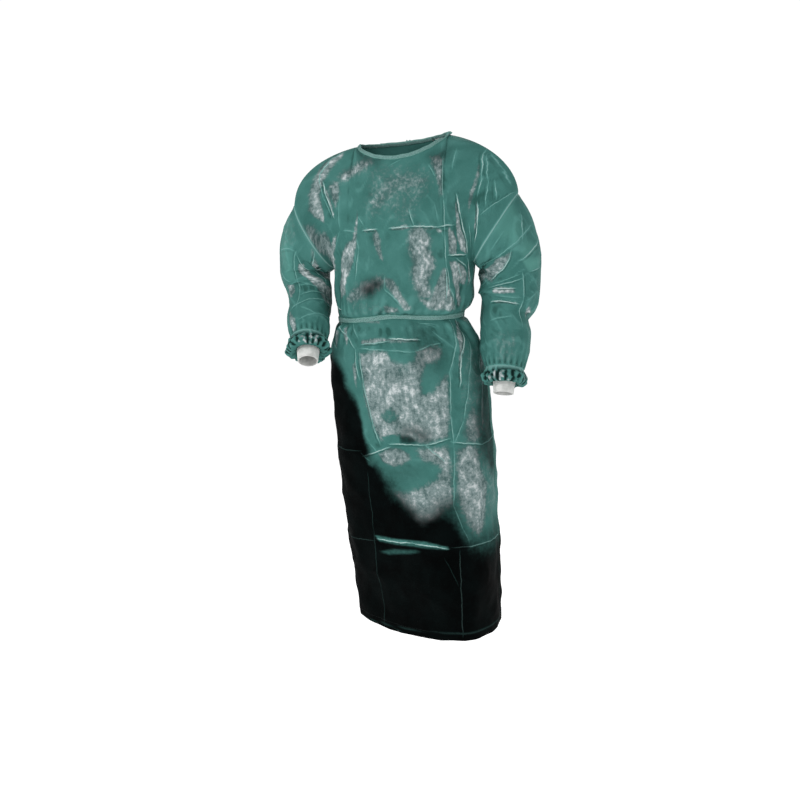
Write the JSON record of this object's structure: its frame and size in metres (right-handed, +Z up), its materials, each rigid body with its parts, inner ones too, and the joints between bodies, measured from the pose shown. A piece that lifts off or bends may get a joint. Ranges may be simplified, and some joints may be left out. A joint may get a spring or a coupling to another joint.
{
  "type": "visitor gown",
  "caption": "Long-sleeved green nonwoven visitor gown in its worn form, with knitted cuffs, a bound round neck, a tied waist belt and a lapped back opening.",
  "frame": {"origin": "midway between the neck ends of the two shoulder seams, where the wearer's shoulders hold the gown", "axes": "+Z up the gown, -Y towards the front and +X towards the wearer's left"},
  "size_m": [0.6475, 0.4075, 1.2371],
  "materials": {
    "gown_cloth": "coated nonwoven, softly shiny",
    "gown_trim": "folded nonwoven, satin",
    "cuff_knit": "matte rib knit"
  },
  "bodies": {
    "root": {"front": "gown_cloth", "back_left": "gown_cloth", "back_right": "gown_cloth", "sleeve_left": "gown_cloth", "sleeve_right": "gown_cloth", "cuff_left": "cuff_knit", "cuff_right": "cuff_knit", "neck_binding": "gown_trim", "neck_knot": "gown_trim", "neck_tie_1": "gown_trim", "neck_tie_2": "gown_trim", "belt": "gown_trim", "belt_knot": "gown_trim", "belt_tie_1": "gown_trim", "belt_tie_2": "gown_trim"}
  },
  "joints": []
}
